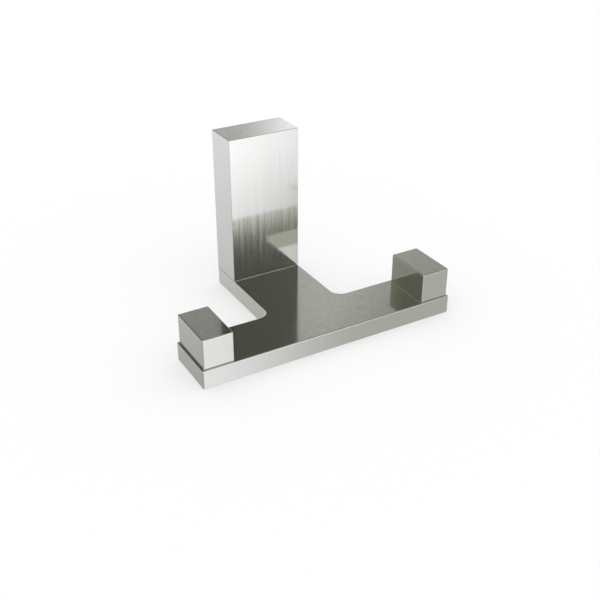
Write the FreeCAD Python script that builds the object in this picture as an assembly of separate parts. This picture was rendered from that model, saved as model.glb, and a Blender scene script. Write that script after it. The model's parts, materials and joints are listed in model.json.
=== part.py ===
"""Double robe hook: a wall post, a T-shaped arm plate and two square pegs.

Millimetres, +Z up. The origin is the middle of the two wall screw holes, on the wall's surface.
+X runs along the crossbar and +Y points into the wall, so the whole hook lies at negative Y.
"""
import FreeCAD
import Part
import math
import os

# Wall post
POST_WIDTH = 25.0
POST_DEPTH = 12.4
POST_HEIGHT = 50.0

# Arm plate: a stem as wide as the post, and a crossbar
PLATE_THICKNESS = 6.3
REACH = 56.3
BAR_LENGTH = 89.2
BAR_DEPTH = 18.5
INNER_CORNER_RADIUS = 4.0

# Pegs on the ends of the bar
PEG_WIDTH = 10.0
PEG_HEIGHT = 10.0
PEG_INSET = 0.6

# Eased edges of the brushed pieces: rounded where they show, bevelled on the back and underneath.
# The post's are the crisper ones. The pegs' feet are rounded after the rest, with a smaller radius
EDGE_RADIUS = 0.3
EDGE_BEVEL = 0.25
POST_EDGE_RADIUS = 0.15
POST_EDGE_BEVEL = 0.12
PEG_FOOT_RADIUS = 0.25

# Pocket in the back of the post, over the wall bracket
POCKET_SIDE_WALL = 4.0
POCKET_FRONT_WALL = 5.4
POCKET_ROOF = 6.6
POCKET_FLOOR = 9.4
POCKET_CORNER_RADIUS = 1.5

# Wall bracket: a dovetail plate whose bevelled ends face the wall
BRACKET_BEVEL = 2.5
BRACKET_FRONT_GAP = 2.0
BRACKET_SIDE_CLEARANCE = 0.5
BRACKET_HOOK_CLEARANCE = 0.1
BRACKET_LIFT_PLAY = 0.4

# Countersunk holes for the wall screws
WALL_HOLE_DIAMETER = 4.5
WALL_SINK_DIAMETER = 9.0
WALL_HOLE_END_DISTANCE = 5.5

# Countersunk socket screws that hold the plate to the post and the pegs
SCREW_DIAMETER = 3.0
SCREW_HEAD_DIAMETER = 6.0
SCREW_REACH = 5.9
SCREW_HEX_WIDTH = 2.0
SCREW_HEX_DEPTH = 1.2
SCREW_RECESS = 0.2
SCREW_HOLE_CLEARANCE = 0.2
SCREW_SINK_CLEARANCE = 0.05
THREAD_CLEARANCE = 0.03
THREAD_RUNOUT = 1.0
POST_SCREW_SIDE_DISTANCE = 5.0
PEG_SCREW_END_DISTANCE = 4.2

# Set screw that draws the post down and back onto the bracket
SET_SCREW_DIAMETER = 4.0
SET_SCREW_LENGTH = 8.0
SET_SCREW_TIP_DIAMETER = 1.0
SET_SCREW_HEX_WIDTH = 2.0
SET_SCREW_HEX_DEPTH = 2.2
SET_SCREW_BITE = 1.4
SET_SCREW_TAIL_CHAMFER = 0.4
SET_SCREW_TIP_CLEARANCE = 0.03
SET_SCREW_HOLE_CLEARANCE = 0.25

# Heights worked out from the sizes above, with the bracket centred on the origin
BRACKET_LIFT_ROOM = BRACKET_BEVEL + BRACKET_LIFT_PLAY
POCKET_HEIGHT = POST_HEIGHT - POCKET_FLOOR - POCKET_ROOF
BRACKET_FRONT_HEIGHT = POCKET_HEIGHT - BRACKET_LIFT_ROOM - BRACKET_HOOK_CLEARANCE
BRACKET_BACK_HEIGHT = BRACKET_FRONT_HEIGHT - 2 * BRACKET_BEVEL
BRACKET_TOP = BRACKET_FRONT_HEIGHT / 2
BRACKET_BOTTOM = -BRACKET_TOP
POCKET_FLOOR_Z = BRACKET_BOTTOM - BRACKET_LIFT_ROOM
POCKET_ROOF_Z = POCKET_FLOOR_Z + POCKET_HEIGHT
PLATE_TOP = POCKET_FLOOR_Z - POCKET_FLOOR
PLATE_BOTTOM = PLATE_TOP - PLATE_THICKNESS

# Depths and widths worked out from the sizes above
POCKET_WIDTH = POST_WIDTH - 2 * POCKET_SIDE_WALL
POCKET_DEPTH = POST_DEPTH - POCKET_FRONT_WALL
BRACKET_WIDTH = POCKET_WIDTH - 2 * BRACKET_SIDE_CLEARANCE
BRACKET_THICKNESS = POCKET_DEPTH - BRACKET_FRONT_GAP
WALL_HOLE_SPACING = BRACKET_FRONT_HEIGHT - 2 * WALL_HOLE_END_DISTANCE
BAR_FRONT = -REACH
BAR_BACK = BAR_FRONT + BAR_DEPTH
BAR_MIDDLE = (BAR_FRONT + BAR_BACK) / 2
POST_MIDDLE = -POST_DEPTH / 2
PEG_DEPTH = BAR_DEPTH - 2 * PEG_INSET
PEG_MIDDLE = BAR_LENGTH / 2 - PEG_INSET - PEG_WIDTH / 2
SCREW_LENGTH = PLATE_THICKNESS - SCREW_RECESS + SCREW_REACH
POST_SCREW_OFFSET = POST_WIDTH / 2 - POST_SCREW_SIDE_DISTANCE
PEG_SCREW_OFFSET = PEG_DEPTH / 2 - PEG_SCREW_END_DISTANCE
SET_SCREW_Y = SET_SCREW_BITE - BRACKET_THICKNESS

# Cutting tools start a little outside the piece
CUT_MARGIN = 1.0

# Places closer than this are the same place
SAME = 1e-6

# Which side of the middle plane a piece is on, and which screw of a peg it is
LEFT = -1
RIGHT = 1
FRONT = -1
REAR = 1


def point(x, y, z):
    return FreeCAD.Vector(x, y, z)


def runs_along(edge, axis):
    """Whether a straight edge is parallel to the named axis."""
    start, end = edge.Vertexes[0].Point, edge.Vertexes[-1].Point
    lengths = {name: abs(getattr(end, name) - getattr(start, name)) for name in ("x", "y", "z")}
    return lengths[axis] > 0 and max(lengths[name] for name in lengths if name != axis) < SAME


def lies_in_plane(edge, axis, value):
    """Whether both ends and the middle of an edge lie at this value on the named axis."""
    middle = edge.valueAt((edge.FirstParameter + edge.LastParameter) / 2)
    places = [vertex.Point for vertex in edge.Vertexes] + [middle]
    return all(abs(getattr(place, axis) - value) < SAME for place in places)


def block_on_plate(width, depth, height, x_middle, y_middle):
    """A block that stands on the arm plate, centred on x_middle and y_middle."""
    corner = point(x_middle - width / 2, y_middle - depth / 2, PLATE_TOP)
    return Part.makeBox(width, depth, height, corner)


def rim(solid, axis, place):
    """The edges of a solid that lie in the plane at this place on the named axis."""
    return [edge for edge in solid.Edges if lies_in_plane(edge, axis, place)]


def rounded_but_for_rim(solid, radius, sharp_edges, axis, place):
    """Rounds the sharp edges, apart from those in the plane at this place on the named axis."""
    others = [edge for edge in sharp_edges if not lies_in_plane(edge, axis, place)]
    return solid.makeFillet(radius, others)


def eased(solid, radius, bevel, sharp_edges, axis, hidden_face):
    """Rounds the sharp edges, and bevels those in the plane of the hidden face."""
    solid = rounded_but_for_rim(solid, radius, sharp_edges, axis, hidden_face)
    return solid.makeChamfer(bevel, rim(solid, axis, hidden_face))


def turned(profile, x, y):
    """The (radius, z) profile, turned about the upright axis through x and y."""
    corners = [point(x + radius, y, z) for radius, z in profile]
    face = Part.Face(Part.makePolygon(corners + corners[:1]))
    return face.revolve(point(x, y, 0), point(0, 0, 1), 360)


def hexagonal_hole(width, depth, x, y, z_mouth):
    """A hexagonal socket that opens downwards at z_mouth, width across its flats."""
    corner_radius = width / math.sqrt(3)
    corners = []
    for corner in range(7):
        angle = math.radians(60 * corner)
        corner_x = x + corner_radius * math.cos(angle)
        corner_y = y + corner_radius * math.sin(angle)
        corners.append(point(corner_x, corner_y, z_mouth - CUT_MARGIN))
    return Part.Face(Part.makePolygon(corners)).extrude(point(0, 0, depth + CUT_MARGIN))


def upright_hole(radius, x, y, bottom, top):
    return Part.makeCylinder(radius, top - bottom, point(x, y, bottom))


def tapped_blind_hole(x, y):
    """The tapped hole that a plate screw enters, from the top of the plate upwards."""
    end = PLATE_BOTTOM + SCREW_RECESS + SCREW_LENGTH + THREAD_RUNOUT
    return upright_hole(SCREW_DIAMETER / 2 + THREAD_CLEARANCE, x, y, PLATE_TOP - CUT_MARGIN, end)


def sunk_screw_hole(x, y):
    """The clearance hole and countersink of a plate screw, open at the plate's underside."""
    hole = SCREW_DIAMETER / 2 + SCREW_HOLE_CLEARANCE
    sink = SCREW_HEAD_DIAMETER / 2 + SCREW_SINK_CLEARANCE
    cone_start = PLATE_BOTTOM + SCREW_RECESS
    cone_end = cone_start + sink - hole
    start = PLATE_BOTTOM - CUT_MARGIN
    end = PLATE_TOP + CUT_MARGIN
    profile = [(0, start), (sink, start), (sink, cone_start), (hole, cone_end), (hole, end), (0, end)]
    return turned(profile, x, y)


def post_screw_place(side):
    return side * POST_SCREW_OFFSET, POST_MIDDLE


def peg_screw_place(side, row):
    return side * PEG_MIDDLE, BAR_MIDDLE + row * PEG_SCREW_OFFSET


def plate_screw(place):
    """A socket screw with a 90 degree countersunk head, head down in the plate's underside."""
    x, y = place
    head = SCREW_HEAD_DIAMETER / 2
    shank = SCREW_DIAMETER / 2
    bottom = PLATE_BOTTOM + SCREW_RECESS
    neck = bottom + head - shank
    tip = bottom + SCREW_LENGTH
    profile = [
        (0, bottom),
        (head, bottom),
        (shank, neck),
        (shank, tip),
        (0, tip),
    ]
    return turned(profile, x, y).cut(hexagonal_hole(SCREW_HEX_WIDTH, SCREW_HEX_DEPTH, x, y, bottom))


def set_screw_tip_height():
    """Where the tip meets the bracket's lower bevel, at the edge of the tip nearest to the post's front."""
    along_bevel = SET_SCREW_BITE - SET_SCREW_TIP_DIAMETER / 2
    rise = along_bevel * BRACKET_BEVEL / BRACKET_THICKNESS
    return BRACKET_BOTTOM + rise - SET_SCREW_TIP_CLEARANCE


def set_screw():
    radius = SET_SCREW_DIAMETER / 2
    tip_radius = SET_SCREW_TIP_DIAMETER / 2
    tip = set_screw_tip_height()
    tail = tip - SET_SCREW_LENGTH
    profile = [
        (0, tail),
        (radius - SET_SCREW_TAIL_CHAMFER, tail),
        (radius, tail + SET_SCREW_TAIL_CHAMFER),
        (radius, tip - (radius - tip_radius)),
        (tip_radius, tip),
        (0, tip),
    ]
    socket = hexagonal_hole(SET_SCREW_HEX_WIDTH, SET_SCREW_HEX_DEPTH, 0, SET_SCREW_Y, tail)
    return turned(profile, 0, SET_SCREW_Y).cut(socket)


def widened_profile(corners, width):
    """The (y, z) corners as an outline seen from the side, widened evenly about the middle plane."""
    outline = [point(-width / 2, y, z) for y, z in corners]
    return Part.Face(Part.makePolygon(outline + outline[:1])).extrude(point(width, 0, 0))


def rounded_panel(width, bottom, top, depth):
    """A panel from just behind the wall's surface to depth in front of it, its four corners rounded."""
    panel = Part.makeBox(width, depth + CUT_MARGIN, top - bottom, point(-width / 2, -depth, bottom))
    corners = [edge for edge in panel.Edges if runs_along(edge, "y")]
    return panel.makeFillet(POCKET_CORNER_RADIUS, corners)


def pocket():
    """The hollow in the post's back, with a lip under its roof that hooks over the bracket."""
    lip_bottom = POCKET_ROOF_Z - BRACKET_BEVEL
    slope = BRACKET_BEVEL / BRACKET_THICKNESS
    corners = [
        (CUT_MARGIN, POCKET_FLOOR_Z),
        (-POCKET_DEPTH, POCKET_FLOOR_Z),
        (-POCKET_DEPTH, POCKET_ROOF_Z),
        (-BRACKET_THICKNESS, POCKET_ROOF_Z),
        (CUT_MARGIN, lip_bottom - CUT_MARGIN * slope),
    ]
    hollow = widened_profile(corners, POCKET_WIDTH)
    return hollow.common(rounded_panel(POCKET_WIDTH, POCKET_FLOOR_Z, POCKET_ROOF_Z, POCKET_DEPTH))


def wall_post():
    solid = block_on_plate(POST_WIDTH, POST_DEPTH, POST_HEIGHT, 0, POST_MIDDLE)
    solid = eased(solid, POST_EDGE_RADIUS, POST_EDGE_BEVEL, solid.Edges, "y", 0)
    solid = solid.cut(pocket())
    for side in (LEFT, RIGHT):
        solid = solid.cut(tapped_blind_hole(*post_screw_place(side)))
    thread = SET_SCREW_DIAMETER / 2 + THREAD_CLEARANCE
    top = POCKET_FLOOR_Z + CUT_MARGIN
    return solid.cut(upright_hole(thread, 0, SET_SCREW_Y, PLATE_TOP - CUT_MARGIN, top))


def wall_bracket():
    half = BRACKET_BACK_HEIGHT / 2
    corners = [
        (0, -half),
        (-BRACKET_THICKNESS, BRACKET_BOTTOM),
        (-BRACKET_THICKNESS, BRACKET_TOP),
        (0, half),
    ]
    panel = rounded_panel(BRACKET_WIDTH, BRACKET_BOTTOM, BRACKET_TOP, BRACKET_THICKNESS)
    solid = widened_profile(corners, BRACKET_WIDTH).common(panel)
    for height in (-WALL_HOLE_SPACING / 2, WALL_HOLE_SPACING / 2):
        solid = solid.cut(wall_screw_hole(height))
    return solid


def wall_screw_hole(z):
    """A hole through the bracket, countersunk at 90 degrees on the side that faces the room."""
    hole = WALL_HOLE_DIAMETER / 2
    mouth = WALL_SINK_DIAMETER / 2 + CUT_MARGIN
    start = point(0, -BRACKET_THICKNESS - CUT_MARGIN, z)
    towards_wall = point(0, 1, 0)
    straight = Part.makeCylinder(hole, BRACKET_THICKNESS + 2 * CUT_MARGIN, start, towards_wall)
    cone = Part.makeCone(mouth, hole, mouth - hole, start, towards_wall)
    return straight.fuse(cone)


def inner_corner(side):
    """The arc from the stem's side to the bar's back, on one side of the plate."""
    stem = side * POST_WIDTH / 2
    radius = INNER_CORNER_RADIUS
    centre_x, centre_y = stem + side * radius, BAR_BACK + radius
    reach = radius / math.sqrt(2)
    return Part.Arc(
        point(stem, centre_y, PLATE_BOTTOM),
        point(centre_x - side * reach, centre_y - reach, PLATE_BOTTOM),
        point(centre_x, BAR_BACK, PLATE_BOTTOM),
    ).toShape()


def plate_outline():
    """The T, as one closed wire on the plate's underside."""
    stem = POST_WIDTH / 2
    end = BAR_LENGTH / 2
    radius = INNER_CORNER_RADIUS
    stem_corners = [(-stem, BAR_BACK + radius), (-stem, 0), (stem, 0), (stem, BAR_BACK + radius)]
    bar_corners = [
        (stem + radius, BAR_BACK),
        (end, BAR_BACK),
        (end, BAR_FRONT),
        (-end, BAR_FRONT),
        (-end, BAR_BACK),
        (-stem - radius, BAR_BACK),
    ]
    edges = [inner_corner(RIGHT), inner_corner(LEFT)]
    for corners in (stem_corners, bar_corners):
        edges += Part.makePolygon([point(x, y, PLATE_BOTTOM) for x, y in corners]).Edges
    return Part.Wire(Part.__sortEdges__(edges))


def t_plate():
    solid = Part.Face(plate_outline()).extrude(point(0, 0, PLATE_THICKNESS))
    rims = [edge for edge in solid.Edges if not runs_along(edge, "z")]
    corners = [edge for edge in solid.Edges if runs_along(edge, "z") and is_outer_corner(edge)]
    solid = eased(solid, EDGE_RADIUS, EDGE_BEVEL, rims + corners, "z", PLATE_BOTTOM)
    for side in (LEFT, RIGHT):
        solid = solid.cut(sunk_screw_hole(*post_screw_place(side)))
        for row in (FRONT, REAR):
            solid = solid.cut(sunk_screw_hole(*peg_screw_place(side, row)))
    key_hole = SET_SCREW_DIAMETER / 2 + SET_SCREW_HOLE_CLEARANCE
    start, end = PLATE_BOTTOM - CUT_MARGIN, PLATE_TOP + CUT_MARGIN
    return solid.cut(upright_hole(key_hole, 0, SET_SCREW_Y, start, end))


def is_outer_corner(edge):
    """Whether an upright edge is one of the plate's six sharp corners, not an end of an inner arc."""
    place = edge.Vertexes[0].Point
    return abs(place.y) < SAME or abs(abs(place.x) - BAR_LENGTH / 2) < SAME


def peg(side):
    solid = block_on_plate(PEG_WIDTH, PEG_DEPTH, PEG_HEIGHT, side * PEG_MIDDLE, BAR_MIDDLE)
    solid = rounded_but_for_rim(solid, EDGE_RADIUS, solid.Edges, "z", PLATE_TOP)
    solid = solid.makeFillet(PEG_FOOT_RADIUS, rim(solid, "z", PLATE_TOP))
    for row in (FRONT, REAR):
        solid = solid.cut(tapped_blind_hole(*peg_screw_place(side, row)))
    return solid


def pieces():
    """Every piece by its name."""
    return {
        "wall_post": wall_post(),
        "t_plate": t_plate(),
        "left_peg": peg(LEFT),
        "right_peg": peg(RIGHT),
        "wall_bracket": wall_bracket(),
        "set_screw": set_screw(),
        "post_screw_left": plate_screw(post_screw_place(LEFT)),
        "post_screw_right": plate_screw(post_screw_place(RIGHT)),
        "left_peg_screw_front": plate_screw(peg_screw_place(LEFT, FRONT)),
        "left_peg_screw_rear": plate_screw(peg_screw_place(LEFT, REAR)),
        "right_peg_screw_front": plate_screw(peg_screw_place(RIGHT, FRONT)),
        "right_peg_screw_rear": plate_screw(peg_screw_place(RIGHT, REAR)),
    }


def main():
    os.makedirs("parts", exist_ok=True)
    for name, shape in pieces().items():
        shape.exportStep(f"parts/{name}.step")
        print(name, "solids", len(shape.Solids), "valid", shape.isValid(), "volume", round(shape.Volume, 1))


main()
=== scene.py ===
import json
import math

import bpy
from mathutils import Matrix, Vector


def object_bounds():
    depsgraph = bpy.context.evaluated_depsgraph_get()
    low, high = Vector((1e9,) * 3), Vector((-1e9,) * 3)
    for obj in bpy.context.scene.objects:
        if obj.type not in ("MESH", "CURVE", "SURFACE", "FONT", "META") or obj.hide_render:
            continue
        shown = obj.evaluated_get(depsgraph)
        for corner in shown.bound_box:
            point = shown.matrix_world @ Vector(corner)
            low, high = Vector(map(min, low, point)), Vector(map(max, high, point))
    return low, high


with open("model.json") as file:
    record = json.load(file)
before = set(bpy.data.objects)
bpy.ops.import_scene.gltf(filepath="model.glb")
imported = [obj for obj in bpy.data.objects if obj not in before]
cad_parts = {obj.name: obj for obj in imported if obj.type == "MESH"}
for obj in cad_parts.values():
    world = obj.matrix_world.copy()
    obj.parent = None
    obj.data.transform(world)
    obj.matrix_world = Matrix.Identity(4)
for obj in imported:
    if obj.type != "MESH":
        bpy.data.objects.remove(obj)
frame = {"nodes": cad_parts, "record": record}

CAD_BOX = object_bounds()

# Finishes: colours are linear red, green and blue. The nickel's roughness runs from its smoothest
# brush lines to its coarsest, on upright faces and on level ones
NICKEL_COLOUR = (0.70, 0.70, 0.63)
ROUGHNESS_UPRIGHT = (0.095, 0.12)
ROUGHNESS_LEVEL = (0.075, 0.095)
NICKEL_ANISOTROPY = 0.8
ZINC_COLOUR = (0.62, 0.63, 0.66)
ZINC_ROUGHNESS = 0.38
STEEL_COLOUR = (0.58, 0.58, 0.57)
STEEL_ROUGHNESS = 0.28

# Brush lines: noise cells to a metre, across the lines and along them, and their height in metres
BRUSH_ACROSS = 1900.0
BRUSH_ALONG_UPRIGHT = 50.0
BRUSH_ALONG_LEVEL = 360.0
BRUSH_DEPTH = 0.000002
BRUSH_DETAIL = 2.0
BRUSH_DETAIL_STRENGTH = 0.6

# How much a line differs from its neighbours, on upright faces and on level ones: how far its
# surface leans along the line, as a slope, and how much its colour varies
LEAN_UPRIGHT = 0.013
LEAN_LEVEL = 0.006
VARIATION_UPRIGHT = 0.055
VARIATION_LEVEL = 0.40

# The brush noise's mean, and its values at the smoothest and the coarsest lines
NOISE_MEAN = 0.5
NOISE_SMOOTHEST = 0.42
NOISE_COARSEST = 0.70

# Fine grain of the plated and turned steel: noise cells to a metre, the noise's usual range,
# and what it does to the colour and the roughness
ZINC_GRAIN = 900.0
STEEL_GRAIN = 2500.0
GRAIN_DETAIL = 3.0
GRAIN_RANGE = (0.3, 0.7)
GRAIN_TINT = (0.88, 1.05)
GRAIN_SMOOTHER = 0.06
GRAIN_ROUGHER = 0.08

# A face whose normal is steeper than this, as the upward part of the normal, counts as level
LEVEL_NORMAL = 0.7

NO_CHANGE = 1.0

WHITE = (1.0, 1.0, 1.0)

# Camera, as fitted to the object's straight edges in the photograph
CAMERA_PLACE = (-0.128964, -0.256614, 0.120903)
CAMERA_AZIMUTH = 30.232
CAMERA_ELEVATION = 30.031
CAMERA_ROLL = 0.157
CAMERA_LENS = 54.42
SENSOR_WIDTH = 36.0
CLIP_START = 0.01

# Floor, just under the plate. What its colour doesn't return, its glow adds, so that it is white
# in the open and keeps the object's soft shadow
FLOOR_HALF_WIDTH = 3.0
FLOOR_ALBEDO = 0.55


class Nodes:
    """Short calls that make and join the nodes of one shader tree."""

    def __init__(self, tree):
        self.tree = tree
        tree.nodes.clear()

    def add(self, kind, **settings):
        node = self.tree.nodes.new(kind)
        for name, value in settings.items():
            setattr(node, name, value)
        return node

    def feed(self, socket, value):
        if isinstance(value, bpy.types.NodeSocket):
            self.tree.links.new(value, socket)
        else:
            socket.default_value = value

    def math(self, operation, *values):
        node = self.add("ShaderNodeMath", operation=operation)
        for socket, value in zip(node.inputs, values):
            self.feed(socket, value)
        return node.outputs[0]

    def vector(self, operation, *values):
        node = self.add("ShaderNodeVectorMath", operation=operation)
        for socket, value in zip(node.inputs, values):
            self.feed(socket, value)
        return node.outputs[0]

    def step(self, value, start, end):
        """0 where value is at start or below, 1 where it is at end or above, and smooth between."""
        node = self.add("ShaderNodeMapRange", interpolation_type="SMOOTHSTEP")
        self.feed(node.inputs["Value"], value)
        self.feed(node.inputs["From Min"], start)
        self.feed(node.inputs["From Max"], end)
        return node.outputs["Result"]

    def span(self, value, low, high, new_low, new_high):
        """Carries low to new_low and high to new_high, and goes no further."""
        node = self.add("ShaderNodeMapRange", clamp=True)
        names = ("From Min", "From Max", "To Min", "To Max")
        for name, number in zip(names, (low, high, new_low, new_high)):
            self.feed(node.inputs[name], number)
        self.feed(node.inputs["Value"], value)
        return node.outputs["Result"]

    def mix(self, factor, first, second, data_type="RGBA"):
        node = self.add("ShaderNodeMix", data_type=data_type)
        sockets = [s for s in node.inputs if s.enabled]
        for socket, value in zip(sockets, (factor, first, second)):
            self.feed(socket, value)
        return next(s for s in node.outputs if s.enabled)

    def noise(self, place, scale, detail, roughness=0.5):
        node = self.add("ShaderNodeTexNoise")
        self.feed(node.inputs["Vector"], place)
        self.feed(node.inputs["Scale"], scale)
        self.feed(node.inputs["Detail"], detail)
        self.feed(node.inputs["Roughness"], roughness)
        return node.outputs["Fac"]


def rgba(colour, strength=1.0):
    return tuple(strength * channel for channel in colour) + (1.0,)


def new_material(name):
    material = bpy.data.materials.new(name)
    material.use_nodes = True
    return material, Nodes(material.node_tree)


def is_horizontal(nodes):
    """1 on level faces, which look up or down, and 0 on upright ones."""
    geometry = nodes.add("ShaderNodeNewGeometry")
    parts = nodes.add("ShaderNodeSeparateXYZ")
    nodes.feed(parts.inputs[0], geometry.outputs["True Normal"])
    upward = nodes.math("ABSOLUTE", parts.outputs["Z"])
    return nodes.math("GREATER_THAN", upward, LEVEL_NORMAL)


def brush_place(nodes, flat):
    """Object coordinates stretched so that noise turns into lines, upright or along the depth."""
    place = nodes.add("ShaderNodeTexCoord").outputs["Object"]
    upright = nodes.vector("MULTIPLY", place, (BRUSH_ACROSS, BRUSH_ACROSS, BRUSH_ALONG_UPRIGHT))
    level = nodes.vector("MULTIPLY", place, (BRUSH_ACROSS, BRUSH_ALONG_LEVEL, BRUSH_ACROSS))
    return nodes.mix(flat, upright, level, "VECTOR")


def across_lines(nodes, line_direction):
    """The direction across the brush lines, in which gloss spreads."""
    normal = nodes.add("ShaderNodeNewGeometry").outputs["Normal"]
    return nodes.vector("NORMALIZE", nodes.vector("CROSS_PRODUCT", normal, line_direction))


def scaled(nodes, vector, factor):
    """The vector, or the colour, times the factor."""
    result = nodes.vector("SCALE", vector)
    nodes.feed(result.node.inputs["Scale"], factor)
    return result


def brushed_nickel():
    """Satin nickel whose fine brush lines differ a little in brightness, roughness and lean."""
    material, nodes = new_material("brushed_nickel")
    flat = is_horizontal(nodes)
    place = brush_place(nodes, flat)
    lines = nodes.noise(place, 1.0, BRUSH_DETAIL, BRUSH_DETAIL_STRENGTH)
    deviation = nodes.math("SUBTRACT", lines, NOISE_MEAN)
    shader = nodes.add("ShaderNodeBsdfPrincipled")
    variation = nodes.mix(flat, VARIATION_UPRIGHT, VARIATION_LEVEL, "FLOAT")
    tint = nodes.math("MULTIPLY_ADD", deviation, variation, NO_CHANGE)
    nodes.feed(shader.inputs["Base Color"], scaled(nodes, NICKEL_COLOUR, tint))
    shader.inputs["Metallic"].default_value = 1.0
    smooth, coarse = (
        nodes.mix(flat, upright, level, "FLOAT")
        for upright, level in zip(ROUGHNESS_UPRIGHT, ROUGHNESS_LEVEL)
    )
    roughness = nodes.span(lines, NOISE_SMOOTHEST, NOISE_COARSEST, smooth, coarse)
    nodes.feed(shader.inputs["Roughness"], roughness)
    shader.inputs["Anisotropic"].default_value = NICKEL_ANISOTROPY
    line_direction = nodes.mix(flat, (0.0, 0.0, 1.0), (0.0, 1.0, 0.0), "VECTOR")
    nodes.feed(shader.inputs["Tangent"], across_lines(nodes, line_direction))
    bump = nodes.add("ShaderNodeBump")
    nodes.feed(bump.inputs["Height"], lines)
    bump.inputs["Strength"].default_value = 1.0
    bump.inputs["Distance"].default_value = BRUSH_DEPTH
    most = nodes.mix(flat, LEAN_UPRIGHT, LEAN_LEVEL, "FLOAT")
    lean = scaled(nodes, line_direction, nodes.math("MULTIPLY", deviation, most))
    normal = nodes.vector("NORMALIZE", nodes.vector("ADD", bump.outputs["Normal"], lean))
    nodes.feed(shader.inputs["Normal"], normal)
    output = nodes.add("ShaderNodeOutputMaterial")
    nodes.feed(output.inputs["Surface"], shader.outputs["BSDF"])
    return material


def plain_steel(name, colour, base_roughness, grain):
    """Turned or plated steel, with a fine even grain in its colour and roughness."""
    material, nodes = new_material(name)
    place = nodes.add("ShaderNodeTexCoord").outputs["Object"]
    mottle = nodes.noise(place, grain, GRAIN_DETAIL)
    shader = nodes.add("ShaderNodeBsdfPrincipled")
    tint = nodes.span(mottle, *GRAIN_RANGE, *GRAIN_TINT)
    nodes.feed(shader.inputs["Base Color"], scaled(nodes, colour, tint))
    shader.inputs["Metallic"].default_value = 1.0
    smooth, coarse = base_roughness - GRAIN_SMOOTHER, base_roughness + GRAIN_ROUGHER
    roughness = nodes.span(mottle, *GRAIN_RANGE, smooth, coarse)
    nodes.feed(shader.inputs["Roughness"], roughness)
    output = nodes.add("ShaderNodeOutputMaterial")
    nodes.feed(output.inputs["Surface"], shader.outputs["BSDF"])
    return material


def finish_nodes():
    """Gives every CAD node the finish of its slot in the record."""
    finishes = {"brushed_nickel": brushed_nickel()}
    for name, colour, roughness, grain in (
        ("zinc_plated_steel", ZINC_COLOUR, ZINC_ROUGHNESS, ZINC_GRAIN),
        ("screw_steel", STEEL_COLOUR, STEEL_ROUGHNESS, STEEL_GRAIN),
    ):
        finishes[name] = plain_steel(name, colour, roughness, grain)
    for part in frame["record"]["subparts"]:
        node = frame["nodes"][part["node"]]
        node.data.materials.clear()
        node.data.materials.append(finishes[part["material_slot"]])


# The studio's brightness by elevation in degrees, in units of a white surface
STUDIO_LEVELS = [
    (-90, 0.42),
    (-36, 0.46),
    (-31, 0.58),
    (-27, 0.75),
    (-20, 0.96),
    (-2, 1.05),
    (16, 0.58),
    (26, 0.41),
    (34, 0.26),
    (62, 0.28),
    (74, 0.80),
    (90, 0.95),
]

# Soft panels, each laid over the ones before it. Azimuth is measured from the front, in degrees
# to the right. Rise is the elevation seen from the side, so that a panel's top and bottom are
# straight and level. Each panel has its brightness, its azimuth from and to, its rise from and to,
# and the softness of its sides and of its top and bottom. Ends past the scale are open
PANELS = {
    "front floor": (0.52, -60, 52, -99, -26.1, 22, 3.8),
    "front windows": (1.74, -40, 31, 2, 27.7, 8, 0.5),
    "front ceiling": (0.25, -80, 80, 27.9, 60, 15, 0.8),
    "front ceiling middle": (0.11, -32.5, 32.5, 28.2, 55, 4, 1.1),
    "back left ceiling": (0.08, -999, -130, 7, 50, 5, 5),
    "back ceiling": (0.08, 165, 999, 7, 50, 5, 5),
    "window glow": (0.53, 144.5, 151.5, 0, 38, 4, 4),
    "back right windows": (1.20, 138, 151.8, 4.5, 24.3, 2.5, 2.2),
    "back right floor": (0.69, 138, 165, -45, -20, 5, 4),
    "left dark floor": (0.28, -147, -125, -65, -17.5, 2, 5),
}

# Soft lights, given like the panels and added to what is there
LIGHTS = {
    "front light": (0.66, 17, 28.3, -99, -16, 7, 3),
    "front left light": (0.66, -33, -22, -29.5, -23, 5, 2),
}

# Dim parts of the studio are neutral, and bright ones turn to daylight: how much more blue they
# have, and the brightness at which that starts and is full
DAYLIGHT_BLUE = 1.10
DAYLIGHT_FROM = 0.55
DAYLIGHT_FULL = 0.90


def panel_cover(nodes, azimuth, rise, panel):
    """How much of a panel or light lies in the direction looked in, from 0 to 1."""
    left, right, bottom, top, side_softness, end_softness = panel[1:]
    cover = 1.0
    for value, low, high, softness in (
        (azimuth, left, right, side_softness),
        (rise, bottom, top, end_softness),
    ):
        cover = nodes.math("MULTIPLY", cover, nodes.step(value, low - softness, low + softness))
        cover = nodes.math("MULTIPLY", cover, nodes.step(value, high + softness, high - softness))
    return cover


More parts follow.
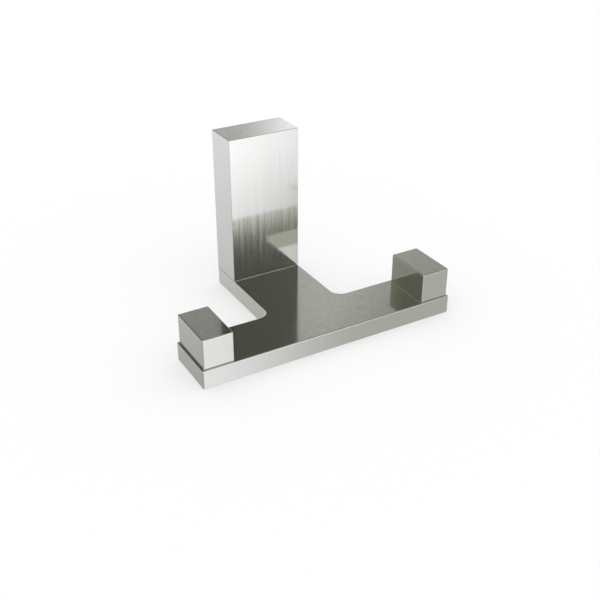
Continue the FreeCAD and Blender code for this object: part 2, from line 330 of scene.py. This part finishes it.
def studio_light(nodes):
    """The studio's colour in the direction looked in."""
    direction = nodes.add("ShaderNodeSeparateXYZ")
    nodes.feed(direction.inputs[0], nodes.add("ShaderNodeTexCoord").outputs["Generated"])
    x, y, z = direction.outputs
    toward_viewer = nodes.math("MULTIPLY", y, -1.0)
    azimuth = nodes.math("DEGREES", nodes.math("ARCTAN2", x, toward_viewer))
    elevation = nodes.math("DEGREES", nodes.math("ARCSINE", z))
    rise = nodes.math("DEGREES", nodes.math("ARCTAN2", z, nodes.math("ABSOLUTE", y)))
    ramp = nodes.add("ShaderNodeValToRGB")
    stops = ramp.color_ramp.elements
    while len(stops) < len(STUDIO_LEVELS):
        stops.new(0.5)
    for stop, (height, brightness) in zip(stops, STUDIO_LEVELS):
        stop.position = (height + 90) / 180
        stop.color = rgba(WHITE, brightness)
    nodes.feed(ramp.inputs["Fac"], nodes.span(elevation, -90.0, 90.0, 0.0, 1.0))
    light = ramp.outputs["Color"]
    for panel in PANELS.values():
        cover = panel_cover(nodes, azimuth, rise, panel)
        light = nodes.mix(cover, light, panel[0], "FLOAT")
    for panel in LIGHTS.values():
        cover = panel_cover(nodes, azimuth, rise, panel)
        light = nodes.math("MULTIPLY_ADD", cover, panel[0], light)
    tint = nodes.span(light, DAYLIGHT_FROM, DAYLIGHT_FULL, NO_CHANGE, DAYLIGHT_BLUE)
    blue = nodes.math("MULTIPLY", light, tint)
    colour = nodes.add("ShaderNodeCombineColor")
    for socket, value in zip(colour.inputs, (light, light, blue)):
        nodes.feed(socket, value)
    return colour.outputs[0]


def make_studio():
    """The world: metal mirrors the graded studio, as in the photograph, and all else sees white."""
    world = bpy.data.worlds.new("studio")
    bpy.context.scene.world = world
    world.use_nodes = True
    nodes = Nodes(world.node_tree)
    background = nodes.add("ShaderNodeBackground")
    rays = nodes.add("ShaderNodeLightPath")
    seen = nodes.mix(rays.outputs["Is Glossy Ray"], rgba(WHITE), studio_light(nodes))
    nodes.feed(background.inputs["Color"], seen)
    output = nodes.add("ShaderNodeOutputWorld")
    nodes.feed(output.inputs["Surface"], background.outputs["Background"])


def make_floor():
    """A pale floor with the object's soft shadow. Mirrored rays and the view from below pass it."""
    height = CAD_BOX[0].z
    mesh = bpy.data.meshes.new("floor")
    reach = FLOOR_HALF_WIDTH
    corners = [
        (-reach, -reach, height),
        (reach, -reach, height),
        (reach, reach, height),
        (-reach, reach, height),
    ]
    mesh.from_pydata(corners, [], [(0, 1, 2, 3)])
    floor = bpy.data.objects.new("floor", mesh)
    bpy.context.scene.collection.objects.link(floor)
    material, nodes = new_material("floor")
    matt = nodes.add("ShaderNodeBsdfDiffuse")
    matt.inputs["Color"].default_value = rgba(WHITE, FLOOR_ALBEDO)
    glow = nodes.add("ShaderNodeEmission")
    glow.inputs["Strength"].default_value = 1.0 - FLOOR_ALBEDO
    both = nodes.add("ShaderNodeAddShader")
    nodes.feed(both.inputs[0], matt.outputs[0])
    nodes.feed(both.inputs[1], glow.outputs[0])
    rays = nodes.add("ShaderNodeLightPath")
    underneath = nodes.add("ShaderNodeNewGeometry").outputs["Backfacing"]
    clear = nodes.add("ShaderNodeBsdfTransparent")
    choice = nodes.add("ShaderNodeMixShader")
    passed = nodes.math("MAXIMUM", rays.outputs["Is Glossy Ray"], underneath)
    nodes.feed(choice.inputs[0], passed)
    nodes.feed(choice.inputs[1], both.outputs[0])
    nodes.feed(choice.inputs[2], clear.outputs[0])
    output = nodes.add("ShaderNodeOutputMaterial")
    nodes.feed(output.inputs["Surface"], choice.outputs[0])
    mesh.materials.append(material)


def make_camera():
    """The photograph's camera: it looks to the right by its azimuth and down by its elevation."""
    azimuth = math.radians(CAMERA_AZIMUTH)
    elevation = math.radians(CAMERA_ELEVATION)
    roll = math.radians(CAMERA_ROLL)
    forward = Vector((
        math.sin(azimuth) * math.cos(elevation),
        math.cos(azimuth) * math.cos(elevation),
        -math.sin(elevation),
    ))
    right = Vector((math.cos(azimuth), -math.sin(azimuth), 0.0))
    up = right.cross(forward)
    rolled_right = math.cos(roll) * right + math.sin(roll) * up
    rolled_up = math.cos(roll) * up - math.sin(roll) * right
    data = bpy.data.cameras.new("camera")
    data.lens = CAMERA_LENS
    data.sensor_width = SENSOR_WIDTH
    data.clip_start = CLIP_START
    camera = bpy.data.objects.new("camera", data)
    bpy.context.scene.collection.objects.link(camera)
    axes = Matrix((rolled_right, rolled_up, -forward)).transposed()
    camera.matrix_world = Matrix.Translation(CAMERA_PLACE) @ axes.to_4x4()
    bpy.context.scene.camera = camera


bpy.context.scene.view_settings.view_transform = "Standard"
finish_nodes()
make_studio()
make_floor()
make_camera()
